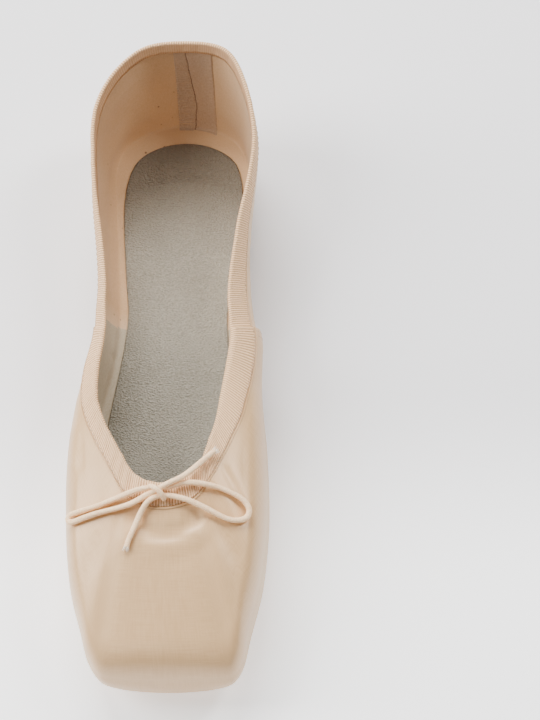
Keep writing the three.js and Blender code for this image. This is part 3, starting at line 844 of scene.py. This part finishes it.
# It is painted darker brown where it turns up at the heel, as painted shade from the heel wall
# at_heel here is the share of painted shade towards the heel
at_heel = share_between(tree, along_y(tree, place), 0.05, 0.098, top=0.8, interpolation="SMOOTHSTEP")
sock_with_heel_shade = mixed_colour(tree, at_heel, colour, (0.13, 0.1, 0.065, 1))
dressed(tree, shader, sock_with_heel_shade, pebbles, 0.0009, 0.6)
sock_piece.data.materials.append(sock)
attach(sock_piece, "root")
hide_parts("insole")


# The binding
# A ribbed cotton tape folded over the whole edge of collar and throat and sewn down, with the
# drawstring inside, so that the fold is round and puckers a little towards the throat.
TAPE_THICKNESS = 0.00045
TAPE_GAP = 0.00005
HEM_STANDS = 0.0003
RIB_PITCH = 0.0009
PUCKERS_ROUND = 77
PUCKER_HEIGHT = 0.00006
PUCKER_HEIGHT_AT_THROAT = 0.00022
DIMPLES_ROUND = 60
DIMPLE_DEPTH = 0.0004
EDGE_WAVES = ((0.00012, 26, 0), (0.0001, 11, 1))
CUT_EDGE_SHARE = 0.7
FOLD_ANGLES = (20, 45, 70, 90, 110, 135, 160)
FOLD_RISE = 1.1
HEM_EDGE = 0.0001
# How much the puckers move the outer leg at each depth, the fold and the inner leg
OUTER_PUCKERS = (0.1, 0.5, 0.9, 1.2, 1.4, 1.4, 1.2, 0.8, 0.5)
FOLD_PUCKERS = 0.3
INNER_PUCKERS = -0.6


def below_collar(at, distances):
    """The points of the outer face at distances below the collar, on one line of the wall."""
    line = wall_line(at)[row_starts[2]:]
    run = run_along(line)
    return path_at(run[-1] - distances, run, line)


tape_depths = np.array([TAPE_WIDTH, 0.0076, 0.0066, 0.0054, 0.0042, 0.003, 0.0018, 0.0008, 0])
tape_wall = round_shoe(lambda at: below_collar(at, tape_depths))
tape_normals = outward(tape_wall)
up_way = tape_wall[:, -1] - tape_wall[:, 4]
up_way /= np.linalg.norm(up_way, axis=1, keepdims=True)
run_round = run_along(tape_wall[:, -1])
# The drawstring gathers the tape: small puckers that are deepest at the throat
near_throat = smoothstep(-LINES_ROUND, -9, -2)
turn = run_round / run_round[-1] * 2 * math.pi
pucker_wave = np.sin(PUCKERS_ROUND * turn + 1.3 * np.sin(6 * turn))
puckers = (PUCKER_HEIGHT + PUCKER_HEIGHT_AT_THROAT * near_throat) * pucker_wave
edge_wobble = sum(height * np.sin(count * turn + start) for height, count, start in EDGE_WAVES)
rim_wall = wall_under_tape(0)
half_width = rim_wall / 2 + TAPE_GAP + TAPE_THICKNESS


def tape_point(depth_index, distance, pucker_share):
    offset = distance + pucker_share * puckers
    return tape_wall[:, depth_index] + tape_normals[:, depth_index] * offset[:, None]


on_wall = laps_round + TAPE_GAP
outer_leg = [tape_point(i, on_wall + TAPE_THICKNESS, share) for i, share in enumerate(OUTER_PUCKERS)]
cut_edge = tape_point(0, on_wall + TAPE_THICKNESS * CUT_EDGE_SHARE, OUTER_PUCKERS[0])
outer_leg[0] = cut_edge + up_way * edge_wobble[:, None]
fold = []
rim_lap = laps_round / 2
for angle in np.radians(FOLD_ANGLES):
    side = rim_lap - rim_wall / 2 + (half_width + rim_lap / 2) * math.cos(angle)
    rise = FOLD_RISE * half_width * math.sin(angle) + FOLD_PUCKERS * puckers
    fold.append(tape_wall[:, -1] + tape_normals[:, -1] * side[:, None] + up_way * rise[:, None])
dimples = DIMPLE_DEPTH * np.maximum(0, np.sin(DIMPLES_ROUND * turn)) ** 5
inner_leg = []
for i in (8, 7, 6, 5, 4):
    stand = TAPE_GAP + TAPE_THICKNESS + HEM_STANDS * tape_depths[i] / tape_depths[4]
    sunk = dimples * (i in (6, 5))
    inner_leg.append(tape_point(i, sunk - wall_under_tape(tape_depths[i]) - stand, INNER_PUCKERS))
inner_leg.append(tape_point(4, HEM_EDGE - wall_under_tape(tape_depths[4]), 0))
under = [tape_point(i, -wall_under_tape(tape_depths[i]) / 2, 0) for i in (4, 6, 7)]
under += [tape_point(i, on_wall, 0) for i in (7, 5, 3, 1, 0)]
outline = np.stack([*outer_leg, *fold, *inner_leg, *under, outer_leg[0]], axis=1)
leg_depths = [tape_depths, [0] * len(fold), tape_depths[[8, 7, 6, 5, 4, 4, 4, 6, 7, 7, 5, 3, 1, 0, 0]]]
outline_depths = np.concatenate(leg_depths)
across = run_along(outline)
tape_uv = np.stack([across, run_round[:, None] + 0 * across], axis=2)
binding = ribbon("ribbed_binding", leaning(outline, outline_depths), tape_uv)
# The inner leg and the inner side of the fold get the second material: the same tape in darker colours, as
# painted shade
strips = np.arange(len(binding.data.polygons)) // (len(outline) - 1)
inside = (strips >= len(outer_leg) + len(fold) - 2) & (strips < len(outer_leg) + len(fold) + len(inner_leg))
binding.data.polygons.foreach_set("material_index", inside.astype(np.int32))
sewn(binding)


def ribbed_material(name, dark, light, bump_height):
    """Cotton tape with ribs across it, in lengths along its own run, darker in the valleys between the ribs
    as painted shade.
    """
    material, tree, shader = new_material(name)
    along = along_y(tree, add_node(tree, "ShaderNodeTexCoord").outputs["UV"])
    wave = calculated(tree, "SINE", calculated(tree, "MULTIPLY", along, 2 * math.pi / RIB_PITCH))
    height = calculated(tree, "MULTIPLY_ADD", wave, 0.5, woven_height(tree, 0.0003, 0.001))
    # Painted shade: the colour goes dark in the rib valleys and light on the rib tops
    colour = mixed_colour(tree, share_between(tree, height, 0, 1), dark, light)
    dressed(tree, shader, colour, height, bump_height, 0.8)
    return material


# The inside material is the tape painted darker, as painted shade on the inner leg
for name, dark, light, bump_height in (
    ("binding_tape", (0.52, 0.28, 0.125, 1), (0.96, 0.64, 0.37, 1), 0.0002),
    ("binding_inside", (0.6, 0.35, 0.18, 1), (0.7, 0.43, 0.24, 1), 0.00006),
):
    binding.data.materials.append(ribbed_material(name, dark, light, bump_height))
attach(binding, "root")
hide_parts("collar_binding")


# The piping
# The satin's edge lies under the tape as a thin rolled fold, which shows as a ridge beside it.
PIPING_RADIUS = 0.00042
PIPING_BELOW_TAPE = 0.0007
PIPING_THINNEST = 0.35
PIPING_SIDES = 8
piping_angles = np.linspace(0, 2 * math.pi, PIPING_SIDES + 1)
piping_middle = tape_point(0, laps_round + PIPING_RADIUS * 0.3, 0.1) - up_way * PIPING_BELOW_TAPE
piping_size = PIPING_RADIUS * (PIPING_THINNEST + (1 - PIPING_THINNEST) * near_throat)
piping_grid = rings(piping_middle, piping_size[:, None], piping_angles, tape_normals[:, 0], up_way)
piping_grid = leaning(piping_grid, np.array([TAPE_WIDTH + PIPING_BELOW_TAPE]))
piping_uv = np.stack(np.broadcast_arrays(piping_angles[None] * PIPING_RADIUS, run_round[:, None]), axis=2)
piping = ribbon("satin_piping", piping_grid, piping_uv)
sewn(piping)
piping.data.materials.append(satin)
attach(piping, "root")


# The stitches
# One row of lockstitch holds the tape down along its lower edge, two rows hold the wing down beside
# each side seam. Each stitch is a short bead of thread that dips into the cloth at both ends.
STITCH_PITCH = 0.0021
STITCH_LENGTH = 0.0014
THREAD_RADIUS = 0.00019
SEAM_ROWS_BACK = (0.0012, 0.0034)


def stitch_row(name, paths, material):
    """Stitches along paths of (points, outward normals)."""
    bpy.ops.mesh.primitive_uv_sphere_add(segments=6, ring_count=5, radius=1)
    bead = bpy.context.object
    bead.data.transform(Matrix.Diagonal((STITCH_LENGTH / 2, THREAD_RADIUS, THREAD_RADIUS, 1)))
    bead.data.materials.append(material)
    places = []
    for points, normals in paths:
        run = run_along(points)
        for middle in np.arange(STITCH_PITCH / 2, run[-1], STITCH_PITCH):
            ends = np.array([middle - STITCH_LENGTH / 2, middle + STITCH_LENGTH / 2])
            way = np.diff(path_at(ends, run, points), axis=0)[0]
            way /= np.linalg.norm(way)
            out = path_at(middle, run, normals)
            out = out - way * (out @ way)
            out /= np.linalg.norm(out)
            places.append(placed(way, np.cross(out, way), out, path_at(middle, run, points)))
    piece = copies_joined(name, bead, places)
    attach(piece, "root")
    return piece


sewing_thread, tree, shader = new_material("sewing_thread")
twist = noise(tree, place_on_object(tree), 4000, 1)
colour = mixed_colour(tree, twist, (0.3, 0.18, 0.1, 1), (0.7, 0.48, 0.3, 1))
tree.links.new(colour, shader.inputs["Base Color"])
shader.inputs["Roughness"].default_value = 0.6
tape_line = leaning(tape_point(1, on_wall + TAPE_THICKNESS, 0.5)[:, None], tape_depths[1])[:, 0]
tape_stitches = stitch_row("binding_stitches", [(tape_line, tape_normals[:, 1])], sewing_thread)

seam_paths = []
for side in (False, True):
    for back in SEAM_ROWS_BACK:
        lines = np.where(IS_LEFT == side)[0]
        before = lines[LINES_ROUND[lines] < SEAM_LINE]
        path, path_normals = [], []
        for row in range(row_starts[2], rows - 1):
            if from_collar[before[0], row] < TAPE_WIDTH:
                break
            order = before[np.argsort(outer[before, row, 1])]
            points = outer[order, row]
            seam_y = points[-1, 1] - back
            path.append(path_at(seam_y, points[:, 1], points))
            path_normals.append(path_at(seam_y, points[:, 1], wall_normals[order, row]))
        seam_paths.append((np.array(path), np.array(path_normals)))
seam_stitches = stitch_row("side_seam_stitches", seam_paths, sewing_thread)


# The heel tape
# A flat cotton tape sewn over the back seam inside the heel, from under the binding nearly to the sock.
# It is stitched through in close ribs on one side of the seam, whose line shows down the tape.
HEEL_TAPE_SPAN = (-0.0035, 0.0112)
HEEL_TAPE_LENGTH = (0.0022, 0.0525)
HEEL_TAPE_THICKNESS = 0.0003
HEEL_TAPE_LEANS = 0.0018
HEEL_TAPE_SUNK = 0.0009
HEEL_RIB_PITCH = 0.0014
HEEL_RIB_HEIGHT = 0.00045
HEEL_RIBS_DOWN = (0.008, 0.025)
HEEL_RIBS_ASIDE = (0.0004, 0.0009)
HEEL_TAPE_EDGE = (-0.0001, 0.0006)
HEEL_TAPE_POINTS = (80, 140)
HEEL_TAPE_LINES = 1.2
SEAM_SWAY = 0.00008
SEAM_SWAY_TURNS = 700
SEAM_WIDTH = 0.0004
SEAM_GROOVE = 0.0002
SEAM_GROOVE_WIDTH = 0.00036
SEAM_PATH = ((0.002, 0.02, 0.036, 0.05), (0.0009, 0.0022, 0.0038, 0.0027))

heel_lines = np.where(LINES_ROUND > LAST_LINE - HEEL_TAPE_LINES)[0]
tape_xs = np.linspace(*HEEL_TAPE_SPAN, HEEL_TAPE_POINTS[0])
tape_downs = np.linspace(*HEEL_TAPE_LENGTH, HEEL_TAPE_POINTS[1])
columns = []
for x in tape_xs + HEEL_TAPE_LEANS:
    column = []
    for row in range(rows - 1, row_starts[1], -1):
        order = heel_lines[np.argsort(inner[heel_lines, row, 0])]
        values = [*inner[order, row].T, *wall_normals[order, row].T, from_collar[order, row]]
        column.append([np.interp(x, inner[order, row, 0], value) for value in values])
    column = np.array(column)
    columns.append([[np.interp(down, column[:, 6], value) for value in column.T[:6]] for down in tape_downs])
tape_grid = np.array(columns)
seam_x = np.interp(tape_downs, *SEAM_PATH) + SEAM_SWAY * np.sin(tape_downs * SEAM_SWAY_TURNS)
left_of_seam = smoothstep(seam_x[None] - tape_xs[:, None], *HEEL_RIBS_ASIDE)
rib_wave = np.sin(tape_downs * 2 * math.pi / HEEL_RIB_PITCH)[None]
ribs = HEEL_RIB_HEIGHT * rib_wave * left_of_seam * smoothstep(tape_downs, *HEEL_RIBS_DOWN)
groove = SEAM_GROOVE * np.exp(-((tape_xs[:, None] - seam_x[None]) / SEAM_GROOVE_WIDTH) ** 2)
edge_fall = np.minimum(tape_xs[:, None] - tape_xs[0], tape_xs[-1] - tape_xs[:, None])
edge_fall = np.minimum(edge_fall, np.minimum(tape_downs - tape_downs[0], tape_downs[-1] - tape_downs)[None])
raised = HEEL_TAPE_THICKNESS * smoothstep(edge_fall, *HEEL_TAPE_EDGE) + ribs - groove
face = tape_grid[..., :3] - tape_grid[..., 3:6] * raised[..., None]
back = tape_grid[..., :3] + tape_grid[..., 3:6] * HEEL_TAPE_SUNK
heel_tape_uv = np.stack(np.broadcast_arrays(tape_xs[:, None], tape_downs[None]), axis=2)
heel_tape = ribbon("heel_tape", face, heel_tape_uv)
for name, dark, light in (
    ("heel_tape", (0.4, 0.265, 0.165, 1), (0.5, 0.34, 0.215, 1)),
    ("seam_thread", (0.17, 0.1, 0.06, 1), (0.27, 0.17, 0.1, 1)),
):
    material = cloth_material(name, dark, light, 0.0003, 0.0015, 0.0001, 0.85, 0.1)[0]
    heel_tape.data.materials.append(material)
cell_xs = (tape_xs[1:] + tape_xs[:-1])[None] / 2
on_seam = np.abs(cell_xs - ((seam_x[1:] + seam_x[:-1]) / 2)[:, None]) < SEAM_WIDTH / 2
heel_tape.data.polygons.foreach_set("material_index", on_seam.astype(np.int32).ravel())
heel_tape_back = ribbon("heel_tape_back", back, heel_tape_uv)
select(heel_tape, heel_tape_back)
bpy.ops.object.join()
bpy.ops.object.mode_set(mode="EDIT")
bpy.ops.mesh.select_all(action="DESELECT")
bpy.ops.mesh.select_non_manifold()
bpy.ops.mesh.bridge_edge_loops()
bpy.ops.object.mode_set(mode="OBJECT")
sewn(heel_tape)
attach(heel_tape, "root")


# The floor and the light
# A pale seamless floor, darker towards the back, which glows a little in front of the shoe as painted light,
# a wide soft light over the heel, one from the left, and weaker ones from the front and the right.
FLOOR_SIZE = 6
FLOOR_HEIGHT = -0.0002
bpy.ops.mesh.primitive_plane_add(size=FLOOR_SIZE, location=(0, 0, FLOOR_HEIGHT))
floor = bpy.context.object
floor.name = "floor"
paper, tree, shader = new_material("pale_floor")
far = share_between(tree, along_y(tree, place_on_object(tree)), -0.08, 0.01, interpolation="SMOOTHSTEP")
shade = mixed_colour(tree, far, (0.97, 0.97, 0.97, 1), (0.84, 0.83, 0.84, 1))
tree.links.new(shade, shader.inputs["Base Color"])
shader.inputs["Roughness"].default_value = 0.9
shader.inputs["Specular IOR Level"].default_value = 0.1
# Painted light: the floor glows in front of the shoe and lights it from below
painted_floor_glow = mixed_colour(tree, far, (0.8, 0.8, 0.8, 1), (0.12, 0.12, 0.12, 1))
tree.links.new(painted_floor_glow, shader.inputs["Emission Color"])
shader.inputs["Emission Strength"].default_value = 1
floor.data.materials.append(paper)


LIGHTS_AIM = Vector((0, 0, 0.03))


def soft_light(name, place, size, power):
    bpy.ops.object.light_add(type="AREA", location=place)
    light = bpy.context.object
    light.name = name
    light.rotation_euler = (LIGHTS_AIM - Vector(place)).to_track_quat("-Z", "Y").to_euler()
    light.data.shape = "RECTANGLE"
    light.data.size, light.data.size_y = size
    light.data.energy = power


soft_light("overhead", (-0.2, 0.85, 1.2), (0.8, 0.6), 32)
soft_light("from_left", (-1.0, 0.15, 0.95), (0.6, 1.0), 27)
soft_light("from_front", (-0.4, -1.0, 1.3), (0.8, 0.8), 5)
soft_light("from_right", (0.7, 0.35, 1.05), (0.2, 0.4), 9)
world = bpy.data.worlds.new("studio")
bpy.context.scene.world = world
world.use_nodes = True
background = world.node_tree.nodes["Background"]
background.inputs["Color"].default_value = (0.96, 0.97, 1, 1)
background.inputs["Strength"].default_value = 0.2
